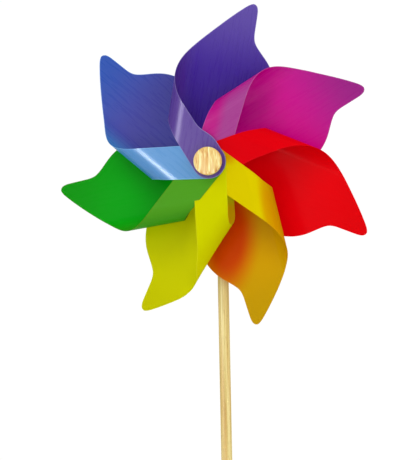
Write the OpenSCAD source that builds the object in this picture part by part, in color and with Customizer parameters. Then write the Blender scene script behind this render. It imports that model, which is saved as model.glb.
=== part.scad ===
// Pinwheel: seven identical plastic blades, each one flat sheet curled back on itself and held by
// both ends on a turning hub tube, in front of a round wooden stick. All lengths are millimetres.
// Frame: origin at the centre of the stick's lower end, +Z up the stick, the wheel faces -Y.
// Depth "d" is counted backwards (+Y) from the middle of the foremost blade end.

/* [Blades] */
// Thickness of the plastic sheet
sheet_t = 0.3; // [0.25:0.01:0.4]
// Radius of the rounded front end of a blade
ring_r = 15.2; // [14:0.1:17]
// Radius of the rounded rear end of a blade
tab_r = 9.5; // [9:0.1:10]
// Depth from a blade's front end to its rear end, along the axle
hub_gap = 40; // [36:0.5:44]
// Reach of the curl, from the axle to its rounded front
fold_d = 46.3; // [44:0.1:50]
// Slope of the body behind the curl, degrees away from square to the axle
body_slope = 9; // [8:0.5:11]
// Reach of the blade's tail, measured along the curl's straight lines
tail_l = 149; // [140:0.1:156]
// Hole for the hub tube at both ends
hole_d = 8.2; // [8.1:0.05:8.5]

/* [Hub] */
// Outside diameter of the hub tube
tube_d = 8; // [7:0.1:8]
// Radial running clearance between tube and axle
run_gap = 0.05; // [0.03:0.01:0.09]
// Axle pin diameter
axle_d = 4; // [3:0.1:4.5]
// Diameter of the collars and the flange that hold the blade ends
collar_d = 15; // [13:0.5:17]
// Diameter of the wooden front knob
knob_d = 25; // [22:0.5:28]
// Thickness of the wooden front knob
knob_t = 6.3; // [5:0.1:9]

/* [Stick] */
// Stick diameter
stick_d = 10; // [8:0.1:11]
// Height of the axle above the stick's lower end
hub_h = 480; // [380:5:600]
// Stick left above the axle
stick_over = 12; // [9:1:20]
// Length of the slightly eased lower end that goes into a socket
end_l = 60; // [30:5:100]

/* [Hidden] */
$fn = 96;

// Blade ends are stacked on the tube one sheet behind the other, violet foremost.
step_d = sheet_t + 0.02;
stack_back = 6 * step_d + sheet_t / 2;
axis_d = hub_gap + 15;
// Direction of each strap, degrees counter-clockwise from +X seen from the front, in stack order.
strap_a = [125, 184.4, 233.5, 275.4, 327.3, 21.8, 75.4];
// Small twist of each body against its strap, taken up in the curl, degrees.
twist_a = [-2.6, -1.8, 0.3, 12.4, 2.1, -1.3, -3.1];
// How much slimmer the strap is on its outer side.
slim = [10, 0, 0, 0, 0, 5, 0];

// The bend: flat strap, curl of radius curl_r about a straight line, flat body sloping back.
slope_t = tan(body_slope);
slope_c = cos(body_slope);
curl_r = (hub_gap - fold_d * slope_t) / (1 + 1 / slope_c - slope_t);
flat_s = fold_d - curl_r;
turn_a = 180 - body_slope;
rad = PI / 180;
curl_end = flat_s + curl_r * turn_a * rad;
end_s = flat_s + curl_r * sin(turn_a);
rear_p = curl_end + end_s / slope_c;
fold_p = flat_s + curl_r * 90 * rad;

// Outline of the flat blank: p across the curl, t along it, front hole at [0, 0],
// rear hole at [rear_p, 0].
in_a = 49.5;
out_a = 48.2;
fork_t = 34.6;
fork_p = fold_p + 5;
fork_r = (fork_p * sin(in_a) - ring_r - fork_t * cos(in_a)) / (1 - cos(in_a));
fork_c = fork_t - fork_r;
span = norm([rear_p - fork_p, fork_c]);
arm_a = asin((fork_r + tab_r) / span) + atan2(fork_c, rear_p - fork_p);
slit_r = 2.2;
slit_l = 18;
slit = [rear_p + (tab_r + slit_r) * sin(arm_a) - slit_l * cos(arm_a),
  (tab_r + slit_r) * cos(arm_a) + slit_l * sin(arm_a)];
slit_p = slit[0] - slit_r;
wide_p = rear_p + 38.7;

// Catmull-Rom curve through the points c, n steps a span
function at(c, i) = c[max(0, min(len(c) - 1, i))];
function cat(a, b, c, d, u) =
  (2 * b + u * (c - a) + u * u * (2 * a - 5 * b + 4 * c - d) + u * u * u * (3 * b - a - 3 * c + d)) / 2;
function smooth(c, n) = [
  for (i = [0:len(c) - 2], k = [0:n - 1]) cat(at(c, i - 1), at(c, i), at(c, i + 1), at(c, i + 2), k / n),
  c[len(c) - 1]];

// Outer edge beyond the straight cut, round the tail, the notch and the shoulder
out_line = ring_r / cos(out_a);
tail_c = smooth([
  [40, 40 * tan(out_a) + out_line], [56, 56 * tan(out_a) + out_line], [rear_p - 41, tail_l - 46.4],
  [rear_p - 30.4, tail_l - 33.5], [rear_p - 20.2, tail_l - 21.8], [rear_p - 9.5, tail_l - 10.6],
  [rear_p - 2, tail_l - 3.5], [rear_p + 1.4, tail_l - 1], [rear_p + 4.2, tail_l],
  [rear_p + 7.2, tail_l - 1.6], [rear_p + 8.7, tail_l - 5.6], [rear_p + 9.2, tail_l - 11.5],
  [rear_p + 9.6, tail_l - 20], [rear_p + 10.1, tail_l - 28.5], [rear_p + 11.7, tail_l - 34.2],
  [rear_p + 15.2, tail_l - 38.9], [rear_p + 20.2, tail_l - 43.9], [rear_p + 25.2, tail_l - 48.8],
  [rear_p + 29.7, tail_l - 54.2], [rear_p + 33.7, tail_l - 61], [rear_p + 36.7, tail_l - 69],
  [rear_p + 38.2, tail_l - 76], [wide_p, tail_l - 80.5]], 6);
// Hidden lower edge of the body, from the slit beside the rear arm
skirt_c = smooth([[slit[0], slit[1] + slit_r], [rear_p + 4, 30.2], [rear_p + 12, 34.5],
  [rear_p + 22, 41.5], [rear_p + 31, 50.5], [rear_p + 36.5, 58.5], [wide_p, 65]], 6);

function t_in(p) =
  p < ring_r * sin(in_a) ? -sqrt(max(0, ring_r * ring_r - p * p))
  : p < fork_p - fork_r * sin(in_a) ? p * tan(in_a) - ring_r / cos(in_a)
  : p < fork_p + fork_r * sin(arm_a) ? fork_c + sqrt(fork_r * fork_r - (p - fork_p) * (p - fork_p))
  : p < rear_p - tab_r * sin(arm_a) ? (rear_p - p) * tan(arm_a) - tab_r / cos(arm_a)
  : -sqrt(max(0, tab_r * tab_r - (p - rear_p) * (p - rear_p)));
function t_out(p) =
  p < -ring_r * sin(out_a) ? sqrt(max(0, ring_r * ring_r - p * p))
  : p < 40 ? p * tan(out_a) + out_line
  : lookup(p, tail_c);
function t_arm(p) =
  p < slit[0] - slit_r * sin(arm_a) ? slit[1] - sqrt(max(0, slit_r * slit_r - (p - slit[0]) * (p - slit[0])))
  : p < rear_p + tab_r * sin(arm_a) ? (rear_p - p) * tan(arm_a) + tab_r / cos(arm_a)
  : sqrt(max(0, tab_r * tab_r - (p - rear_p) * (p - rear_p)));
function t_skirt(p) =
  p < slit[0] ? slit[1] + sqrt(max(0, slit_r * slit_r - (p - slit[0]) * (p - slit[0])))
  : lookup(p, skirt_c);

// Rows of the blank: one sheet up to the slit, then the rear arm and the body apart
rows_a = concat([for (a = [5, 17, 29, 42]) -ring_r * cos(a)], [-7.5, -3.8, 0, 3.8, 7.5, 9.8],
  [ring_r * sin(in_a), 17, 23], [for (a = [0:10:170]) flat_s + curl_r * a * rad],
  [for (k = [0:5]) curl_end + (slit_p - curl_end) * k / 5]);
rows_b = concat([for (a = [0, 35, 65, 90]) slit[0] - slit_r * cos(a)],
  [for (a = [145, 125, 105, 85, 65, 48, 34, 20, 7]) if (rear_p + tab_r * cos(a) > slit[0] + 0.8)
    rear_p + tab_r * cos(a)]);
rows_c = concat([for (a = [0, 35, 65, 90]) slit[0] - slit_r * cos(a)],
  [for (x = [-4, -1.5, 0.5, 2.2, 4.2, 5.8, 7.2, 8.1, 8.7, 9, 9.3, 9.7, 10.2, 10.9, 12, 14, 17, 21, 25,
    28.5, 31.5, 34, 36, 37.4, 38.2, 38.55]) if (rear_p + x > slit[0] + 0.8) rear_p + x]);
NB = 5;
NC = 4;
NA = NB + NC;

function mix(a, b, u) = a + (b - a) * u;
// Where the sheet is shared out between arm columns and body columns
function t_split(p) = mix(t_in(p), t_out(p), mix(NB / NA, (slit[1] - t_in(slit_p)) / (t_out(slit_p)
  - t_in(slit_p)), max(0, min(1, (p - 10) / (slit_p - 10)))));
blank = concat(
  [for (p = rows_a, i = [0:NA]) [p, i <= NB ? mix(t_in(p), t_split(p), i / NB)
    : mix(t_split(p), t_out(p), (i - NB) / NC)]],
  [for (j = [1:len(rows_b) - 1], i = [0:NB]) [rows_b[j], mix(t_in(rows_b[j]), t_arm(rows_b[j]), i / NB)]],
  [for (j = [1:len(rows_c) - 1], i = [0:NC])
    [rows_c[j], mix(t_skirt(rows_c[j]), t_out(rows_c[j]), i / NC)]]);
n_pts = len(blank);
ra = len(rows_a) - 1;
rb = len(rows_b) - 1;
rc = len(rows_c) - 1;
function ia(j, i) = j * (NA + 1) + i;
function ib(j, i) = j == 0 ? ia(ra, i) : (ra + 1) * (NA + 1) + (j - 1) * (NB + 1) + i;
function ic(j, i) = j == 0 ? ia(ra, NB + i)
  : (ra + 1) * (NA + 1) + rb * (NB + 1) + (j - 1) * (NC + 1) + i;
cells = concat(
  [for (j = [0:ra - 1], i = [0:NA - 1]) [ia(j, i), ia(j, i + 1), ia(j + 1, i + 1), ia(j + 1, i)]],
  [for (j = [0:rb - 1], i = [0:NB - 1]) [ib(j, i), ib(j, i + 1), ib(j + 1, i + 1), ib(j + 1, i)]],
  [for (j = [0:rc - 1], i = [0:NC - 1]) [ic(j, i), ic(j, i + 1), ic(j + 1, i + 1), ic(j + 1, i)]]);
rim = concat([for (j = [0:ra]) ia(j, 0)], [for (j = [1:rb]) ib(j, 0)], [for (i = [1:NB]) ib(rb, i)],
  [for (j = [rb - 1:-1:0]) ib(j, NB)], [for (j = [1:rc]) ic(j, 0)], [for (i = [1:NC]) ic(rc, i)],
  [for (j = [rc - 1:-1:0]) ic(j, NC)], [for (j = [ra - 1:-1:0]) ia(j, NA)],
  [for (i = [NA - 1:-1:1]) ia(0, i)]);
tris = concat(
  [for (c = cells) [c[0], c[1], c[2]]], [for (c = cells) [c[0], c[2], c[3]]],
  [for (c = cells) [c[2] + n_pts, c[1] + n_pts, c[0] + n_pts]],
  [for (c = cells) [c[3] + n_pts, c[2] + n_pts, c[0] + n_pts]],
  [for (k = [0:len(rim) - 1]) let (a = rim[k], b = rim[(k + 1) % len(rim)]) [a, b, b + n_pts]],
  [for (k = [0:len(rim) - 1]) let (a = rim[k], b = rim[(k + 1) % len(rim)]) [a, b + n_pts, a + n_pts]]);

// Bending: distance s from the axle, depth d and turning angle at blank coordinate p
function bend_a(p) = max(0, min(turn_a, (p - flat_s) / curl_r / rad));
function bend_s(p) = p < flat_s ? p : p < curl_end ? flat_s + curl_r * sin(bend_a(p))
  : end_s - (p - curl_end) * slope_c;
function bend_d(p) = p < flat_s ? 0 : p < curl_end ? curl_r * (1 - cos(bend_a(p)))
  : curl_r * (1 + slope_c) + (p - curl_end) * sin(body_slope);
// Close to the axle the rear end lies flat against its neighbours
function ease(x) = x <= 0 ? 0 : x >= 1 ? 1 : x * x * (3 - 2 * x);
function lay(p, t) = p < curl_end ? 0
  : bend_s(p) * slope_t * (1 - ease((norm([bend_s(p), t]) - 10) / 24));
function skin(q, h) = let (a = bend_a(q[0]))
  [bend_s(q[0]) + h * sin(a), bend_d(q[0]) + lay(q[0], q[1]) - h * cos(a), q[1]];
// The blank's point q once strap k is slimmed
function waist(q, k) = let (lo = t_in(q[0]),
  w = slim[k] * ease((q[0] + 4) / 22) * (1 - ease((q[0] - 34) / 44)))
  w <= 0 ? q : [q[0], lo + (q[1] - lo) * (1 - w / (t_out(q[0]) - lo))];
// Direction of blade k at blank coordinate p
function turn(p, k) = strap_a[k] + twist_a[k] * ease((p - fold_p + 8) / (curl_end - fold_p + 18));
// Into the part: s runs 45 degrees ahead of the strap, t 45 degrees behind it
function seat(v, a) = [v[0] * cos(a + 45) + v[2] * cos(a - 45), v[1],
  v[0] * sin(a + 45) + v[2] * sin(a - 45)];

module at_hub(d) {
  translate([0, d - axis_d, hub_h]) rotate([-90, 0, 0]) children();
}

module disc_at(d, r, h) {
  at_hub(d) cylinder(r = r, h = h);
}

module collar(d, h, bore) {
  difference() {
    disc_at(d, collar_d / 2, h);
    disc_at(d - 1, bore / 2, h + 2);
  }
}

module blade(k) {
  difference() {
    translate([0, k * step_d - axis_d, hub_h])
      polyhedron(points = concat([for (q = blank) seat(skin(waist(q, k), sheet_t / 2), turn(q[0], k))],
        [for (q = blank) seat(skin(waist(q, k), -sheet_t / 2), turn(q[0], k))]), faces = tris,
        convexity = 6);
    disc_at(k * step_d - 1, hole_d / 2, 2);
    disc_at(hub_gap + k * step_d - 1, hole_d / 2, 2);
  }
}

module stick() {
  color([0.86, 0.75, 0.49]) difference() {
    rotate_extrude() polygon([[0, 0], [stick_d / 2 - 0.2, 0], [stick_d / 2 - 0.2, end_l],
      [stick_d / 2, end_l + 1], [stick_d / 2, hub_h + stick_over - 0.8],
      [stick_d / 2 - 0.8, hub_h + stick_over], [0, hub_h + stick_over]]);
    disc_at(axis_d - stick_d, axle_d / 2 + 0.01, 2 * stick_d);
  }
}

module axle() {
  color([0.72, 0.73, 0.75]) at_hub(-6.2) rotate_extrude()
    polygon([[0, 0], [axle_d / 2 - 0.4, 0], [axle_d / 2, 0.4], [axle_d / 2, axis_d + 14.1],
      [axle_d / 2 - 0.4, axis_d + 14.5], [0, axis_d + 14.5]]);
}

// Turned wooden button: slightly domed face, chamfered rim, short boss on the back
module front_knob() {
  r = knob_d / 2;
  color([0.91, 0.83, 0.58]) difference() {
    at_hub(-2.3 - knob_t) rotate_extrude() polygon(concat([[0, knob_t + 0.3], [0, 0]],
      [for (k = [1:8]) [(r - 1.3) * k / 8, 0.45 * k * k / 64]],
      [[r - 0.35, 1.1], [r, 1.9], [r, knob_t - 0.7], [r - 0.7, knob_t], [4.5, knob_t],
      [4.5, knob_t + 0.3]]));
    disc_at(-6.3, axle_d / 2 + 0.01, 8);
  }
}

module rear_cap() {
  color([0.91, 0.83, 0.58]) difference() {
    at_hub(axis_d + stick_d / 2 + 0.1) rotate_extrude()
      polygon(concat([[0, 0], [5, 0], [5.5, 0.5], [5.5, 1.6]],
        [for (a = [15:15:90]) [5.5 * cos(a), 1.6 + 4.4 * sin(a)]]));
    disc_at(axis_d, axle_d / 2 + 0.01, 8.4);
  }
}

module spacer_bead() {
  l = axis_d - stick_d / 2 - 0.05 - (hub_gap + 4.87);
  color([0.91, 0.83, 0.58]) difference() {
    at_hub(hub_gap + 4.87) rotate_extrude()
      polygon(concat([[0, 0]], [for (a = [-60:15:60]) [3 + 3 * cos(a), l / 2 + l / 2 * sin(a) / sin(60)]],
        [[0, l]]));
    disc_at(hub_gap, axle_d / 2 + 0.01, 20);
  }
}

module rear_washer() {
  color([0.78, 0.79, 0.8]) difference() {
    disc_at(hub_gap + 4.05, 6, 0.8);
    disc_at(hub_gap, axle_d / 2 + 0.2, 10);
  }
}

module hub_tube() {
  color([0.93, 0.93, 0.92]) difference() {
    union() {
      disc_at(-1.7, tube_d / 2, hub_gap + stack_back + 3);
      disc_at(hub_gap + stack_back + 0.05, collar_d / 2, 1.6);
    }
    disc_at(-5, axle_d / 2 + run_gap, hub_gap + 20);
  }
}

module front_cap() {
  color([0.93, 0.93, 0.92]) collar(-1.7, 1.5, tube_d + 0.04);
}

module front_collar() {
  color([0.93, 0.93, 0.92]) collar(stack_back + 0.05, 3, tube_d + 0.04);
}

module rear_collar() {
  color([0.93, 0.93, 0.92]) collar(hub_gap - sheet_t / 2 - 3.05, 3, tube_d + 0.04);
}

module blade_violet() {
  color([0.33, 0.2, 0.6]) blade(0);
}

module blade_blue() {
  color([0.22, 0.36, 0.75]) blade(1);
}

module blade_green() {
  color([0.03, 0.62, 0.1]) blade(2);
}

module blade_yellow() {
  color([0.8, 0.8, 0.02]) blade(3);
}

module blade_orange() {
  color([0.85, 0.6, 0.02]) blade(4);
}

module blade_red() {
  color([0.86, 0.01, 0.07]) blade(5);
}

module blade_magenta() {
  color([0.72, 0.02, 0.5]) blade(6);
}

stick();
axle();
front_knob();
rear_cap();
spacer_bead();
rear_washer();
hub_tube();
front_cap();
front_collar();
rear_collar();
blade_violet();
blade_blue();
blade_green();
blade_yellow();
blade_orange();
blade_red();
blade_magenta();
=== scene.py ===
"""Pinwheel: seven curled plastic blades on a turning hub tube, in front of a round wooden stick.

Everything is in metres, in the part's own frame: origin at the stick's lower end, +Z up the stick,
the wheel facing -Y. Blade work is done in millimetres on the flat blank, then bent into place.
"""

from math import asin, atan2, cos, hypot, pi, radians, sin, sqrt, tan

import bpy
import numpy as np
from mathutils import Matrix, Vector


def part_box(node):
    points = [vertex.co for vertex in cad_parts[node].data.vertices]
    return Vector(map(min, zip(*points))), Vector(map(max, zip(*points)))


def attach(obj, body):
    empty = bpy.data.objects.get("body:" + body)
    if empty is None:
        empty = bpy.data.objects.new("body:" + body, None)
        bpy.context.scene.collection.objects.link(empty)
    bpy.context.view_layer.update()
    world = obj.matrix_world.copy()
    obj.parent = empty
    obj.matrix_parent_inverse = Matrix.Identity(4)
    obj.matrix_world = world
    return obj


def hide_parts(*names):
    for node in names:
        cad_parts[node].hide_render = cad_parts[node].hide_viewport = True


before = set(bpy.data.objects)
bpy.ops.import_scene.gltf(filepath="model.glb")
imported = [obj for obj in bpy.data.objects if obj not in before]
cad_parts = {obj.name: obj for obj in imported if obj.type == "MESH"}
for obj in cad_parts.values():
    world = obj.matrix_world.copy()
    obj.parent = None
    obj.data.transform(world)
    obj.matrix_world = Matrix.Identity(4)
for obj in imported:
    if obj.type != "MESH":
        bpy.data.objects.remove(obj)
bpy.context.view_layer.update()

MM = 0.001
HUB = Vector((0.0, 0.0, 0.48))  # where the axle crosses the stick
WHEEL = HUB + Vector((0, -0.035, 0))  # middle of the wheel's depth
AXIS_DEPTH = 55.0  # from the foremost blade end back to the stick's centre line, mm


# ---------------------------------------------------------------- camera
def add_camera():
    """Long lens, a little to the right of the wheel's axle and a little below it."""
    turn, lift, roll, distance = radians(11.33), radians(-4.36), radians(-1.14), 1.7
    left, below = 0.0030, 0.0600
    out = Vector((sin(turn) * cos(lift), -cos(turn) * cos(lift), sin(lift)))
    eye = WHEEL + out * distance
    right = (-out).cross(Vector((0, 0, 1))).normalized()
    up = right.cross(-out)
    right, up = right * cos(roll) + up * sin(roll), up * cos(roll) - right * sin(roll)
    aim = WHEEL - right * left - up * below
    ahead = (aim - eye).normalized()
    right = ahead.cross(up).normalized()
    up = right.cross(ahead)
    bpy.ops.object.camera_add(location=eye)
    camera = bpy.context.object
    camera.name = "studio_camera"
    camera.rotation_euler = Matrix((right, up, -ahead)).transposed().to_euler()
    camera.data.sensor_width = 36
    camera.data.lens = 148.5
    camera.data.clip_end = 50
    bpy.context.scene.camera = camera


# ---------------------------------------------------------------- small helpers
def lone(piece):
    """Selects one object and nothing else."""
    bpy.ops.object.select_all(action="DESELECT")
    piece.select_set(True)
    bpy.context.view_layer.objects.active = piece


def unpick(mesh):
    """Leaves no point or edge picked, so that faces can be picked by their place."""
    for item in (*mesh.vertices, *mesh.edges):
        item.select = False


def apply_modifier(piece, kind, **settings):
    """Adds a modifier to the piece and applies it."""
    lone(piece)
    bpy.ops.object.modifier_add(type=kind)
    modifier = piece.modifiers[-1]
    for key, value in settings.items():
        setattr(modifier, key, value)
    bpy.ops.object.modifier_apply(modifier=modifier.name)


def srgb(red, green, blue):
    """A paint colour given on the usual 0 to 255 scale, as linear light."""
    out = []
    for value in (red, green, blue):
        v = value / 255
        out.append(v / 12.92 if v <= 0.04045 else ((v + 0.055) / 1.055) ** 2.4)
    return (*out, 1.0)


class Finish:
    """A material whose nodes are added one line at a time."""

    def __init__(self, name):
        self.material = bpy.data.materials.new(name)
        self.material.use_nodes = True
        self.nodes = self.material.node_tree.nodes
        self.links = self.material.node_tree.links
        self.shader = self.nodes["Principled BSDF"]
        self.output = self.nodes["Material Output"]

    def node(self, kind, **settings):
        """A new node with its settings."""
        made = self.nodes.new(kind)
        for key, value in settings.items():
            setattr(made, key, value)
        return made

    def join(self, source, target):
        self.links.new(source, target)

    def place(self, scale=(1, 1, 1)):
        """Coordinates on the piece, stretched along its axes."""
        where = self.node("ShaderNodeTexCoord")
        mapping = self.node("ShaderNodeMapping")
        mapping.inputs["Scale"].default_value = scale
        self.join(where.outputs["Object"], mapping.inputs["Vector"])
        return mapping.outputs["Vector"]

    def noise(self, vector, scale, detail=2.0, rough=0.5, distortion=0.0):
        """Cloudy noise, or grain where the coordinates are stretched."""
        made = self.node("ShaderNodeTexNoise")
        made.inputs["Scale"].default_value = scale
        made.inputs["Detail"].default_value = detail
        made.inputs["Roughness"].default_value = rough
        made.inputs["Distortion"].default_value = distortion
        self.join(vector, made.inputs["Vector"])
        return made.outputs["Fac"]

    def ramp(self, source, stops):
        """Colours against a value: stops are (place, colour) pairs."""
        made = self.node("ShaderNodeValToRGB")
        made.color_ramp.interpolation = "EASE"
        points = made.color_ramp.elements
        while len(points) < len(stops):
            points.new(0.5)
        for point, (where, colour) in zip(points, stops):
            point.position = where
            point.color = colour
        self.join(source, made.inputs["Fac"])
        return made.outputs["Color"]

    def span(self, source, low, high, to_low=0.0, to_high=1.0):
        """A smooth step of source from low to high."""
        made = self.node("ShaderNodeMapRange", interpolation_type="SMOOTHSTEP")
        names = ("From Min", "From Max", "To Min", "To Max")
        for name, value in zip(names, (low, high, to_low, to_high)):
            made.inputs[name].default_value = value
        self.join(source, made.inputs["Value"])
        return made.outputs["Result"]

    def math(self, operation, a, b):
        """A sum or product of two values, each a number or another node's output."""
        made = self.node("ShaderNodeMath", operation=operation)
        for socket, value in zip(made.inputs, (a, b)):
            if isinstance(value, (int, float)):
                socket.default_value = value
            else:
                self.join(value, socket)
        return made.outputs["Value"]

    def mix(self, share, first, second):
        """The first colour with a share of the second."""
        made = self.node("ShaderNodeMix", data_type="RGBA")
        for name, value in (("Factor_Float", share), ("A_Color", first), ("B_Color", second)):
            socket = next(s for s in made.inputs if s.identifier == name)
            if isinstance(value, (int, float, tuple)):
                socket.default_value = value
            else:
                self.join(value, socket)
        return next(s for s in made.outputs if s.identifier == "Result_Color")

    def bump(self, height, strength, distance):
        """Relief on the shader; the same normal is handed back for a second shader."""
        made = self.node("ShaderNodeBump")
        made.inputs["Strength"].default_value = strength
        made.inputs["Distance"].default_value = distance
        self.join(height, made.inputs["Height"])
        self.join(made.outputs["Normal"], self.shader.inputs["Normal"])
        return made.outputs["Normal"]


# ---------------------------------------------------------------- blade blank
# On the flat blank, in mm: p runs from the ring end at the hub's front to the tab at its rear,
# t from the hub's side out to the tail.
SHEET = 0.3
LEVEL = SHEET + 0.02  # from one stacked blade end to the next
HUB_HOLE_R = 4.1
RING_R, TAB_R, SLIT_R, SLIT_L = 15.2, 9.5, 2.2, 18.0
HUB_GAP = 40.0  # between the foremost and the rear blade ends
FOLD_D, TAIL_L = 46.3, 149.0  # from the hub out to the fold, and to the tail's tip
SLOPE = radians(9)  # of the body, back towards the rear hub
CURL_R = (HUB_GAP - FOLD_D * tan(SLOPE)) / (1 + 1 / cos(SLOPE) - tan(SLOPE))
FLAT_S = FOLD_D - CURL_R
TURN = pi - SLOPE
CURL_END = FLAT_S + CURL_R * TURN
END_S = FLAT_S + CURL_R * sin(TURN)
REAR_P = CURL_END + END_S / cos(SLOPE)
FOLD_P = FLAT_S + CURL_R * pi / 2
IN_A, OUT_A = radians(49.5), radians(48.2)  # the straight cuts beside the ring end
FORK_P, FORK_T = FOLD_P + 5, 34.6  # top of the fork between strap and rear arm
FORK_R = (FORK_P * sin(IN_A) - RING_R - FORK_T * cos(IN_A)) / (1 - cos(IN_A))
FORK_C = FORK_T - FORK_R
ARM_A = asin((FORK_R + TAB_R) / hypot(REAR_P - FORK_P, FORK_C)) + atan2(FORK_C, REAR_P - FORK_P)
SLIT = (
    REAR_P + (TAB_R + SLIT_R) * sin(ARM_A) - SLIT_L * cos(ARM_A),
    (TAB_R + SLIT_R) * cos(ARM_A) + SLIT_L * sin(ARM_A),
)
SLIT_A = radians(25)  # half the blunt end of the slit, seen from its centre
SLIT_P = SLIT[0] - SLIT_R * cos(SLIT_A)
TAIL_P = 40  # where the straight cut runs into the tail
WIDE_P = REAR_P + 38.7


def smooth_line(points):
    """A soft curve through the points, as an array."""
    steps = 10
    p = np.array([points[0], *points, points[-1]], float)
    u = np.linspace(0, 1, steps, endpoint=False)[:, None]
    spans = []
    for a, b, c, d in zip(p, p[1:], p[2:], p[3:]):
        square, cube = 2 * a - 5 * b + 4 * c - d, 3 * b - a - 3 * c + d
        spans.append((2 * b + u * (c - a) + u**2 * square + u**3 * cube) / 2)
    return np.vstack([*spans, p[-1:]])


OUT_LINE = RING_R / cos(OUT_A)
TAIL = smooth_line(
    [(x, x * tan(OUT_A) + OUT_LINE) for x in (TAIL_P, 56)]
    + [
        (REAR_P + x, TAIL_L + y)
        for x, y in (
            (-41, -46.4), (-30.4, -33.5), (-20.2, -21.8), (-9.5, -10.6), (-2, -3.5), (1.4, -1),
            (4.2, 0), (7.2, -1.6), (8.7, -5.6), (9.2, -11.5), (9.6, -20), (10.1, -28.5),
            (11.7, -34.2), (15.2, -38.9), (20.2, -43.9), (25.2, -48.8), (29.7, -54.2),
            (33.7, -61), (36.7, -69), (38.2, -76), (38.7, -80.5),
        )
    ]
)
SKIRT = smooth_line(
    [(SLIT[0], SLIT[1] + SLIT_R)]
    + [(REAR_P + x, y) for x, y in ((4, 30.2), (12, 34.5), (22, 41.5), (31, 50.5), (36.5, 58.5))]
    + [(WIDE_P, 65.0)]
)


def arc(radius, away):
    """How far a circle reaches, that far from its centre."""
    return sqrt(max(0.0, radius * radius - away * away))


def inner_edge(p):
    """The blank's edge on the hub side."""
    if p < RING_R * sin(IN_A):
        return -arc(RING_R, p)
    if p < FORK_P - FORK_R * sin(IN_A):
        return p * tan(IN_A) - RING_R / cos(IN_A)
    if p < FORK_P + FORK_R * sin(ARM_A):
        return FORK_C + arc(FORK_R, p - FORK_P)
    if p < REAR_P - TAB_R * sin(ARM_A):
        return (REAR_P - p) * tan(ARM_A) - TAB_R / cos(ARM_A)
    return -arc(TAB_R, p - REAR_P)


def outer_edge(p):
    """The blank's edge round the ring end, the straight cut, the tail and its notch."""
    if p < -RING_R * sin(OUT_A):
        return arc(RING_R, p)
    if p < TAIL_P:
        return p * tan(OUT_A) + OUT_LINE
    return float(np.interp(p, TAIL[:, 0], TAIL[:, 1]))


def arm_edge(p):
    """The rear arm's edge beside the slit."""
    if p < SLIT[0] - SLIT_R * sin(ARM_A):
        return SLIT[1] - arc(SLIT_R, p - SLIT[0])
    if p < REAR_P + TAB_R * sin(ARM_A):
        return (REAR_P - p) * tan(ARM_A) + TAB_R / cos(ARM_A)
    return arc(TAB_R, p - REAR_P)


def skirt_edge(p):
    """The body's edge on the far side of the slit."""
    if p < SLIT[0]:
        return SLIT[1] + arc(SLIT_R, p - SLIT[0])
    return float(np.interp(p, SKIRT[:, 0], SKIRT[:, 1]))


def along_tail(start, step):
    """Places across the blank that are one step apart along the tail's edge."""
    line = TAIL[TAIL[:, 0] > start]
    line = np.vstack([[start, outer_edge(start)], line])
    run = np.concatenate([[0], np.cumsum(np.hypot(*np.diff(line, axis=0).T))])
    count = int(run[-1] / step)
    return np.interp(np.linspace(0, run[-1], count + 1), run, line[:, 0])


ARM_COLUMNS, BODY_COLUMNS = 7, 10
SPLIT_FROM = 10  # where the columns start to part towards the slit
SLIT_ROUND = [SLIT[0] - SLIT_R * cos(radians(a)) for a in (40, 57, 74, 90)]
SHEET_ROWS = np.concatenate(
    [
        [-RING_R * cos(radians(a)) for a in (2, 6, 11, 17, 24, 32, 41.8)],
        np.arange(-9.6, 10, 1.6),
        [RING_R * sin(IN_A), 13.5, 15.5, 17.5, 20, 23, 26],
        FLAT_S + CURL_R * np.linspace(0, TURN, 44),
        np.linspace(CURL_END, SLIT_P, 7)[1:],
    ]
)
LAST_WHOLE = len(SHEET_ROWS) - 1
BODY_ROWS = np.concatenate([SLIT_ROUND, along_tail(SLIT[0], 2.2)[1:]])
ARM_ROWS = np.concatenate(
    [
        SLIT_ROUND,
        np.linspace(SLIT[0], REAR_P, len(BODY_ROWS) - 16)[1:],
        REAR_P + TAB_R * np.sin(np.radians(np.linspace(6, 88, 13))),
    ]
)


def spread(low, high, count):
    """Places from one edge to the other, closer together beside the edges."""
    crowding = 0.12
    u = np.linspace(0, 1, count + 1)
    return low + (high - low) * (u - crowding * np.sin(2 * pi * u))


def row_places(j):
    """The blank's row j as (p, t) pairs: the arm's columns, then the body's."""
    if j <= LAST_WHOLE:
        p = SHEET_ROWS[j]
        low, high = inner_edge(p), outer_edge(p)
        end_low, end_high = inner_edge(SLIT_P), outer_edge(SLIT_P)
        half = SLIT_R * sin(SLIT_A)
        share = np.clip((p - SPLIT_FROM) / (SLIT_P - SPLIT_FROM), 0, 1)
        cut = []
        for edge, plain in ((SLIT[1] - half, 0.45), (SLIT[1] + half, 0.5)):
            at_slit = (edge - end_low) / (end_high - end_low)
            cut.append(low + (high - low) * (plain + (at_slit - plain) * share))
        arm = spread(low, cut[0], ARM_COLUMNS)
        body = spread(cut[1], high, BODY_COLUMNS)
        return [(p, t) for t in arm] + [(p, t) for t in body]
    p, q = ARM_ROWS[j - LAST_WHOLE - 1], BODY_ROWS[j - LAST_WHOLE - 1]
    arm = spread(inner_edge(p), arm_edge(p), ARM_COLUMNS)
    body = spread(skirt_edge(q), outer_edge(q), BODY_COLUMNS)
    return [(p, t) for t in arm] + [(q, t) for t in body]


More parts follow.
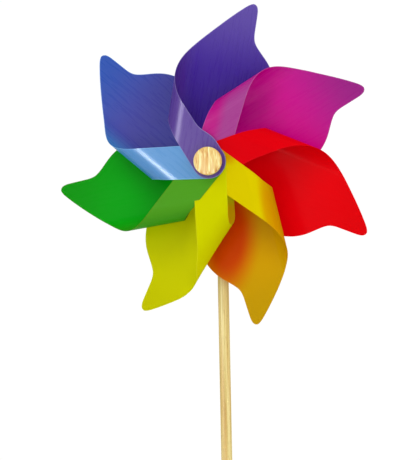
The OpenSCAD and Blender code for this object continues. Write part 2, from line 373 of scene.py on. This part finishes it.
def make_blank():
    """The flat blank: a plain grid laid out row by row, with the slit's faces taken away."""
    rows = len(SHEET_ROWS) + len(BODY_ROWS)
    columns = ARM_COLUMNS + BODY_COLUMNS + 2
    bpy.ops.object.select_all(action="DESELECT")
    bpy.ops.mesh.primitive_grid_add(x_subdivisions=rows - 1, y_subdivisions=columns - 1, size=1)
    blank = bpy.context.object
    blank.name = "blank"
    mesh = blank.data
    laid = [row_places(j) for j in range(rows)]
    grid = np.array([v.co for v in mesh.vertices])
    j = np.rint((grid[:, 0] + 0.5) * (rows - 1)).astype(int)
    i = np.rint((grid[:, 1] + 0.5) * (columns - 1)).astype(int)
    flat = np.array([[*laid[a][b], 0] for a, b in zip(j, i)])
    mesh.vertices.foreach_set("co", flat.ravel())
    mesh.update()
    # take away the strip between arm and body
    place = {(a, b): n for n, (a, b) in enumerate(zip(j, i))}
    beside = (ARM_COLUMNS, ARM_COLUMNS + 1)
    strip = {place[a, b] for a in range(LAST_WHOLE, rows) for b in beside}
    unpick(mesh)
    for face in mesh.polygons:
        face.select = all(v in strip for v in face.vertices)
    bpy.ops.object.mode_set(mode="EDIT")
    bpy.ops.mesh.select_mode(type="FACE")
    bpy.ops.mesh.delete(type="ONLY_FACE")
    bpy.ops.object.mode_set(mode="OBJECT")
    keep_flat_places(mesh)
    return blank


def keep_flat_places(mesh):
    """Keeps the flat places as a UV map in decimetres, and each one's distance to the cut edge."""
    places = np.array([v.co for v in mesh.vertices])[:, :2]
    uses = {}
    for face in mesh.polygons:
        for key in face.edge_keys:
            uses[key] = uses.get(key, 0) + 1
    rim = np.array([key for key, n in uses.items() if n == 1])
    start, run = places[rim[:, 0]], places[rim[:, 1]] - places[rim[:, 0]]
    length = np.maximum((run**2).sum(1), 1e-12)
    away = places[:, None, :] - start[None]
    u = np.clip((away * run[None]).sum(2) / length[None], 0, 1)
    near = np.sqrt(((away - u[..., None] * run[None]) ** 2).sum(2)).min(1)
    cut = mesh.attributes.new("to_edge", "FLOAT", "POINT")
    cut.data.foreach_set("value", near.astype(np.float32))
    layer = mesh.uv_layers[0] if mesh.uv_layers else mesh.uv_layers.new(name="blank")
    layer.name = "blank"
    corner = np.zeros(len(mesh.loops), np.int32)
    mesh.loops.foreach_get("vertex_index", corner)
    layer.data.foreach_set("uv", (places[corner] / 100).astype(np.float32).ravel())


# ---------------------------------------------------------------- blades
SLIM_IN, SLIM_OUT = (-4, 22), (34, 44)  # where a strap's slimming comes in and fades, and over what
TWIST_LEAD, TWIST_RUN = 8, 18  # the twist starts before the fold and ends past the curl
FLAT_TAB_R, TAB_EASE = 10, 24  # the tab lies flat this far round the rear hub, then slopes


def ease(x):
    """A smooth step from 0 to 1."""
    x = np.clip(x, 0, 1)
    return x * x * (3 - 2 * x)


def slimmed(flat, slim):
    """The blank's points with the strap drawn in on its outer side."""
    p, t = flat[:, 0], flat[:, 1]
    low = np.array([inner_edge(x) for x in p])
    high = np.array([outer_edge(x) for x in p])
    come_in, fade = (ease((p - start) / run) for start, run in (SLIM_IN, SLIM_OUT))
    width = slim * come_in * (1 - fade)
    return p, np.where(width > 0, low + (t - low) * (1 - width / np.maximum(high - low, 1)), t)


def bent(flat, strap, twist, slim, level):
    """Where the blank's points go: flat strap, round curl, body sloping back to the rear hub."""
    p, t = slimmed(flat, slim)
    angle = np.clip((p - FLAT_S) / CURL_R, 0, TURN)
    past = np.maximum(p - CURL_END, 0)
    s = np.where(p < FLAT_S, p, FLAT_S + CURL_R * np.sin(angle) - past * cos(SLOPE))
    d = CURL_R * (1 - np.cos(angle)) + past * sin(SLOPE)
    lay = s * tan(SLOPE) * (1 - ease((np.hypot(s, t) - FLAT_TAB_R) / TAB_EASE))
    d = d + np.where(p < CURL_END, 0, lay) + level * LEVEL
    twisted = ease((p - FOLD_P + TWIST_LEAD) / (CURL_END - FOLD_P + TWIST_RUN))
    turn = np.radians(strap + twist * twisted)
    x = s * np.cos(turn + pi / 4) + t * np.cos(turn - pi / 4)
    z = s * np.sin(turn + pi / 4) + t * np.sin(turn - pi / 4)
    return np.column_stack([x, d - AXIS_DEPTH, z]) * MM + np.array(HUB)


def make_blade(blank, name, level, strap, twist, slim, finish):
    """One blade from its own copy of the blank: bent, given its thickness, drilled for the hub."""
    blade = blank.copy()
    blade.data = blank.data.copy()
    blade.name = f"sheet_blade_{name}"
    bpy.context.scene.collection.objects.link(blade)
    flat = np.array([v.co for v in blade.data.vertices])
    blade.data.vertices.foreach_set("co", bent(flat, strap, twist, slim, level).ravel())
    blade.data.update()
    apply_modifier(blade, "SOLIDIFY", thickness=SHEET * MM, offset=0, use_even_offset=True)
    bpy.ops.object.select_all(action="DESELECT")
    bpy.ops.mesh.primitive_cylinder_add(
        vertices=64, radius=HUB_HOLE_R * MM, depth=0.08, location=WHEEL, rotation=(pi / 2, 0, 0)
    )
    drill = bpy.context.object
    apply_modifier(blade, "BOOLEAN", operation="DIFFERENCE", object=drill, solver="EXACT")
    bpy.data.objects.remove(drill)
    lone(blade)
    bpy.ops.object.shade_smooth_by_angle(angle=radians(35))
    blade.data.materials.clear()
    blade.data.materials.append(finish)
    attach(blade, "wheel")
    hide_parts(f"blade_{name}")


def sheet_plastic(name, gloss, strap, fold, body, tip, edge, light_shade_and_tint_patches=()):
    """Slightly translucent sheet: its tint drifts from strap to tail, partly its own colour and
    partly painted light and shade, and its cut edge carries a painted line of light or shade, as
    its edge tint sets.

    Each patch is a soft oval of another tint, which is painted light, painted shade or the sheet's
    own colour: centre, reach, angle, colour, strength.
    """
    share_through, edge_highlight_share, streaks, clouds = 0.30, 0.45, 0.03, 0.07
    f = Finish(f"sheet_{name}")
    where = f.node("ShaderNodeUVMap", uv_map="blank").outputs["UV"]
    axes = f.node("ShaderNodeSeparateXYZ")
    f.join(where, axes.inputs["Vector"])
    across, along = axes.outputs["X"], axes.outputs["Y"]
    # painted light and shade in the drift: lighter strap where light shines on and through it,
    # darker body deep in the cup, lighter tail out of the shade
    tint_light_and_shade_drift = [(0.0, strap), (0.12, strap), (0.26, fold), (0.50, body), (1.0, body)]
    tone = f.ramp(f.span(across, 0.0, 1.6), tint_light_and_shade_drift)
    tone = f.mix(f.span(along, 0.75, 1.45), tone, tip)
    for centre, reach, angle, colour, strength in light_shade_and_tint_patches:
        local = f.node("ShaderNodeMapping", vector_type="TEXTURE")
        local.inputs["Location"].default_value = (*centre, 0)
        local.inputs["Rotation"].default_value = (0, 0, radians(angle))
        local.inputs["Scale"].default_value = (*reach, 1)
        f.join(where, local.inputs["Vector"])
        away = f.node("ShaderNodeVectorMath", operation="LENGTH")
        f.join(local.outputs["Vector"], away.inputs[0])
        tone = f.mix(f.span(away.outputs["Value"], 0.35, 1.0, strength, 0.0), tone, colour)
    # roller streaks in the sheet, and a little unevenness in its dye
    streak = f.node("ShaderNodeMapping")
    streak.inputs["Scale"].default_value = (9, 0.7, 1)
    streak.inputs["Rotation"].default_value = (0, 0, radians(38))
    f.join(where, streak.inputs["Vector"])
    lines = f.noise(streak.outputs["Vector"], 5.0, 3, 0.55)
    cloud = f.noise(where, 2.4, 2, 0.5)
    uneven = f.math("ADD", f.math("MULTIPLY", lines, streaks), f.math("MULTIPLY", cloud, clouds))
    darker = tuple(c * 0.55 for c in body[:3]) + (1.0,)
    tone = f.mix(uneven, tone, darker)
    # painted highlight along the cut edge; with green's darker edge tint it is a painted shadow
    # line
    cut = f.node("ShaderNodeAttribute", attribute_name="to_edge", attribute_type="GEOMETRY")
    tone = f.mix(f.span(cut.outputs["Fac"], 0.2, 0.7, edge_highlight_share, 0.0), tone, edge)
    f.join(tone, f.shader.inputs["Base Color"])
    f.join(f.span(lines, 0.2, 0.8, 0.25, 0.31), f.shader.inputs["Roughness"])
    f.shader.inputs["IOR"].default_value = 1.49
    f.shader.inputs["Specular IOR Level"].default_value = gloss
    normal = f.bump(lines, 0.05, 0.0003)
    through = f.node("ShaderNodeBsdfTranslucent")
    f.join(tone, through.inputs["Color"])
    f.join(normal, through.inputs["Normal"])
    blend = f.node("ShaderNodeMixShader")
    blend.inputs["Fac"].default_value = share_through
    f.join(f.shader.outputs["BSDF"], blend.inputs[1])
    f.join(through.outputs["BSDF"], blend.inputs[2])
    f.join(blend.outputs["Shader"], f.output.inputs["Surface"])
    return f.material


# name: stack level, strap direction, twist, how much slimmer the strap is, gloss,
# then strap, fold, body, tip and cut-edge tints, and any patches. The tints and patches carry
# painted light and shade besides each sheet's own colour; the cut-edge tint is a painted highlight,
# a painted shadow line on green.
BLADES = {
    "violet": (
        0, 125.0, -2.6, 10, 0.50,
        srgb(98, 68, 160), srgb(84, 52, 150), srgb(66, 26, 160),
        srgb(102, 80, 172), srgb(176, 164, 214),
    ),
    "blue": (
        1, 184.4, -1.8, 0, 0.50,
        srgb(88, 156, 214), srgb(70, 146, 208), srgb(74, 74, 172),
        srgb(38, 86, 182), srgb(150, 200, 240),
    ),
    "green": (
        2, 233.5, 0.3, 0, 0.03,
        srgb(84, 164, 34), srgb(60, 160, 24), srgb(0, 178, 16),
        srgb(0, 152, 0), srgb(120, 130, 20),
    ),
    "yellow": (
        3, 275.4, 12.4, 0, 0.004,
        srgb(212, 214, 0), srgb(212, 212, 0), srgb(216, 217, 0),
        srgb(196, 196, 0), srgb(222, 222, 40),
        [
            # painted light: lifts the shade on the body behind the strap and curl, beside the fold
            ((0.94, 0.50), (0.24, 0.50), 0, srgb(236, 238, 0), 0.8),
            # painted reflected light: orange-yellow bounce on the inside of the curl by the fork
            ((0.78, 0.34), (0.20, 0.14), 0, srgb(255, 206, 0), 0.9),
        ],
    ),
    "orange": (
        4, 327.3, 2.1, 0, 0.004,
        # the strap's bright yellow is a painted sheen over the sheet's orange
        srgb(222, 206, 0), srgb(210, 152, 0), srgb(216, 168, 0),
        srgb(196, 156, 0), srgb(216, 168, 20),
        [
            # painted shade: red-orange shadow across the body beside the yellow blade's curl
            ((1.22, 0.66), (0.66, 0.34), 68, srgb(216, 60, 0), 0.95),
            # deeper orange near the fold and at the ring end
            ((0.43, 0.60), (0.10, 0.46), 0, srgb(210, 130, 0), 0.6),
            ((0.12, -0.06), (0.20, 0.09), 49, srgb(206, 120, 0), 0.7),
        ],
    ),
    "red": (
        5, 21.8, -1.3, 5, 0.02,
        srgb(224, 0, 14), srgb(226, 0, 14), srgb(232, 0, 14),
        srgb(222, 0, 8), srgb(230, 20, 30),
    ),
    "magenta": (
        6, 75.4, -3.1, 0, 0.20,
        # the pale strap tint is a painted sheen on the magenta sheet
        srgb(172, 64, 150), srgb(200, 0, 144), srgb(212, 0, 154),
        srgb(158, 34, 138), srgb(200, 120, 180),
        # the strap's own saturated magenta on its inner side, where the painted sheen gives way
        [((0.30, 0.15), (0.60, 0.17), 47, srgb(196, 0, 138), 0.95)],
    ),
}


# ---------------------------------------------------------------- wood, steel, moulded plastic
def stick_wood():
    """Straight grain along the stick, with darker pores."""
    f = Finish("stick_wood")
    grain = f.noise(f.place((1, 1, 0.012)), 900, 3, 0.6, 0.4)
    broad = f.noise(f.place((1, 1, 0.03)), 260, 2, 0.5, 0.8)
    tones = [
        (0.25, srgb(150, 112, 50)), (0.42, srgb(196, 172, 100)),
        (0.60, srgb(220, 204, 138)), (0.85, srgb(230, 218, 158)),
    ]
    tone = f.ramp(grain, tones)
    tone = f.mix(f.span(broad, 0.42, 0.7, 0.0, 0.5), tone, srgb(196, 150, 74))
    pores = f.noise(f.place((1, 1, 0.05)), 3200, 1, 0.5)
    tone = f.mix(f.span(pores, 0.62, 0.74, 0.0, 0.5), tone, srgb(140, 100, 44))
    f.join(tone, f.shader.inputs["Base Color"])
    f.join(f.span(grain, 0.2, 0.8, 0.62, 0.48), f.shader.inputs["Roughness"])
    f.shader.inputs["Specular IOR Level"].default_value = 0.3
    f.bump(grain, 0.25, 0.0003)
    return f.material


def turned_wood():
    """Grain runs up the button's face, in soft uneven lines."""
    f = Finish("turned_wood")
    lines = f.noise(f.place((1, 1, 0.10)), 520, 3, 0.62, 0.7)
    wide = f.noise(f.place((1, 1, 0.16)), 190, 2, 0.5, 1.2)
    tones = [
        (0.32, srgb(176, 106, 40)), (0.45, srgb(210, 172, 88)),
        (0.56, srgb(226, 214, 146)), (0.8, srgb(232, 228, 182)),
    ]
    tone = f.ramp(lines, tones)
    tone = f.mix(f.span(wide, 0.45, 0.68, 0.0, 0.55), tone, srgb(206, 146, 70))
    f.join(tone, f.shader.inputs["Base Color"])
    f.join(f.span(lines, 0.2, 0.8, 0.55, 0.4), f.shader.inputs["Roughness"])
    f.shader.inputs["Specular IOR Level"].default_value = 0.35
    f.bump(lines, 0.2, 0.0003)
    return f.material


def pin_steel():
    """Bright steel with drawing lines along the axle."""
    f = Finish("pin_steel")
    drawn = f.noise(f.place((1, 0.04, 1)), 2400, 2, 0.6)
    tone = f.ramp(drawn, [(0.3, srgb(176, 178, 182)), (0.7, srgb(214, 215, 217))])
    f.join(tone, f.shader.inputs["Base Color"])
    f.join(f.span(drawn, 0.3, 0.7, 0.22, 0.34), f.shader.inputs["Roughness"])
    f.shader.inputs["Metallic"].default_value = 1.0
    f.bump(drawn, 0.08, 0.0001)
    return f.material


def hub_plastic():
    """Moulded white plastic with a fine texture."""
    f = Finish("hub_plastic")
    cloud = f.noise(f.place(), 160, 3, 0.5)
    tone = f.ramp(cloud, [(0.3, srgb(226, 226, 220)), (0.7, srgb(242, 242, 238))])
    f.join(tone, f.shader.inputs["Base Color"])
    f.join(f.span(cloud, 0.3, 0.7, 0.34, 0.44), f.shader.inputs["Roughness"])
    f.bump(f.noise(f.place(), 2600, 2, 0.5), 0.05, 0.0001)
    return f.material


# ---------------------------------------------------------------- the turned button
def make_button(finish):
    """A turned wooden button: domed face, rounded rim, short boss against the hub."""
    low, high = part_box("front_knob")
    radius = (high.x - low.x) / 2
    back, front = high.y, low.y
    boss, boss_r = 0.3 * MM, 5.2 * MM
    rim, rear_rim, crown, rings = 1.2 * MM, 0.7 * MM, 0.45 * MM, 9
    past_rim = 1.3 * MM
    depth = back - boss - front
    bpy.ops.object.select_all(action="DESELECT")
    bpy.ops.mesh.primitive_cylinder_add(
        vertices=128,
        radius=radius,
        depth=depth,
        location=(0, front + depth / 2, HUB.z),
        rotation=(pi / 2, 0, 0),
    )
    button = bpy.context.object
    button.name = "wooden_button"
    bpy.ops.object.transform_apply(location=True, rotation=True, scale=True)

    def pick_face(y):
        bpy.ops.object.mode_set(mode="OBJECT")
        unpick(button.data)
        for face in button.data.polygons:
            face.select = abs(face.center.y - y) < 1e-6 and abs(face.normal.y) > 0.99
        bpy.ops.object.mode_set(mode="EDIT")
        bpy.ops.mesh.select_mode(type="FACE")

    bpy.ops.object.mode_set(mode="EDIT")
    pick_face(front)
    bpy.ops.mesh.bevel(offset=rim, segments=5, profile=0.55, affect="EDGES")
    pick_face(front)
    face_r = radius - rim
    width = face_r / (rings + 0.6)
    for k in range(rings):
        r0, r1 = face_r - k * width, face_r - (k + 1) * width
        bpy.ops.mesh.inset(thickness=width, depth=0)
        rise = crown * ((r0 / face_r) ** 2 - (r1 / face_r) ** 2)
        bpy.ops.transform.translate(value=(0, -rise, 0))
    pick_face(front + depth)
    bpy.ops.mesh.bevel(offset=rear_rim, segments=3, affect="EDGES")
    pick_face(front + depth)
    bpy.ops.mesh.inset(thickness=radius - boss_r, depth=0)
    bpy.ops.mesh.extrude_region_move(TRANSFORM_OT_translate={"value": (0, boss, 0)})
    bpy.ops.object.mode_set(mode="OBJECT")
    # the crown has risen past the front, so the whole front face goes back by as much
    points = np.array([v.co for v in button.data.vertices])
    points[points[:, 1] < front + past_rim, 1] += front - points[:, 1].min()
    button.data.vertices.foreach_set("co", points.ravel())
    button.data.update()
    lone(button)
    bpy.ops.object.shade_smooth_by_angle(angle=radians(40))
    button.data.materials.append(finish)
    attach(button, "stick")
    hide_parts("front_knob")


# ---------------------------------------------------------------- studio
def add_floor():
    """A plain floor of pale paper."""
    bpy.ops.object.select_all(action="DESELECT")
    bpy.ops.mesh.primitive_plane_add(size=4, location=(0, 0, -0.0005))
    floor = bpy.context.object
    floor.name = "studio_floor"
    paper = Finish("floor_paper")
    fibre = paper.noise(paper.place(), 30, 3, 0.5)
    tone = paper.ramp(fibre, [(0.3, (0.80, 0.80, 0.79, 1)), (0.7, (0.84, 0.84, 0.83, 1))])
    paper.join(tone, paper.shader.inputs["Base Color"])
    paper.shader.inputs["Roughness"].default_value = 0.9
    floor.data.materials.append(paper.material)


def add_white_room():
    """White all round: bright to the camera, even in its light, and dim in reflections."""
    white = (1, 1, 1, 1)
    world = bpy.data.worlds.new("studio_white")
    bpy.context.scene.world = world
    world.use_nodes = True
    nodes, links = world.node_tree.nodes, world.node_tree.links
    path = nodes.new("ShaderNodeLightPath")

    def glow(background, strength):
        background.inputs["Color"].default_value = white
        background.inputs["Strength"].default_value = strength
        return background.outputs["Background"]

    def choose(ray, usual, instead):
        made = nodes.new("ShaderNodeMixShader")
        links.new(path.outputs[ray], made.inputs["Fac"])
        links.new(usual, made.inputs[1])
        links.new(instead, made.inputs[2])
        return made.outputs["Shader"]

    even = glow(nodes["Background"], 1.0)
    dim = glow(nodes.new("ShaderNodeBackground"), 0.08)
    room = choose("Is Glossy Ray", even, dim)
    bright = glow(nodes.new("ShaderNodeBackground"), 1.02)
    links.new(choose("Is Camera Ray", room, bright), nodes["World Output"].inputs["Surface"])


def softbox(name, spot, size, power, mirrored=False):
    """A soft lamp facing the wheel. A mirrored one shows in reflections and lights nothing."""
    aim = Vector((0, -0.03, 0.47))
    bpy.ops.object.light_add(type="AREA", location=spot)
    lamp = bpy.context.object
    lamp.name = name
    lamp.data.shape = "RECTANGLE"
    lamp.data.size, lamp.data.size_y = size
    lamp.data.energy = power
    lamp.rotation_euler = (aim - Vector(spot)).to_track_quat("-Z", "Y").to_euler()
    lamp.visible_glossy = mirrored
    lamp.visible_diffuse = lamp.visible_transmission = not mirrored


def add_studio():
    add_floor()
    add_white_room()
    softbox("strip_high", (-0.55, -0.85, 0.65), (0.42, 0.44), 6, mirrored=True)
    softbox("strip_low", (-0.46, -0.89, 0.22), (0.26, 0.34), 9, mirrored=True)
    softbox("key_above", (-0.5, -1.5, 1.9), (1.0, 0.8), 12)
    softbox("fill_right", (1.6, -1.2, 0.9), (1.0, 1.0), 8)
    softbox("glow_behind", (0.3, 1.3, 1.1), (1.4, 1.2), 8)
    bpy.context.scene.view_settings.view_transform = "Standard"
    bpy.context.scene.view_settings.look = "None"


# ---------------------------------------------------------------- the whole object
add_camera()
add_studio()
blank = make_blank()
for name, (level, strap, twist, slim, *tints) in BLADES.items():
    make_blade(blank, name, level, strap, twist, slim, sheet_plastic(name, *tints))
bpy.data.objects.remove(blank)

wood, turned, steel, moulded = stick_wood(), turned_wood(), pin_steel(), hub_plastic()
make_button(turned)
for node, material in {
    "stick": wood,
    "rear_cap": turned,
    "spacer_bead": turned,
    "axle": steel,
    "rear_washer": steel,
    "hub_tube": moulded,
    "front_cap": moulded,
    "front_collar": moulded,
    "rear_collar": moulded,
}.items():
    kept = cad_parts[node]
    kept.data.materials.clear()
    kept.data.materials.append(material)

bpy.ops.object.select_all(action="DESELECT")
bpy.context.view_layer.update()
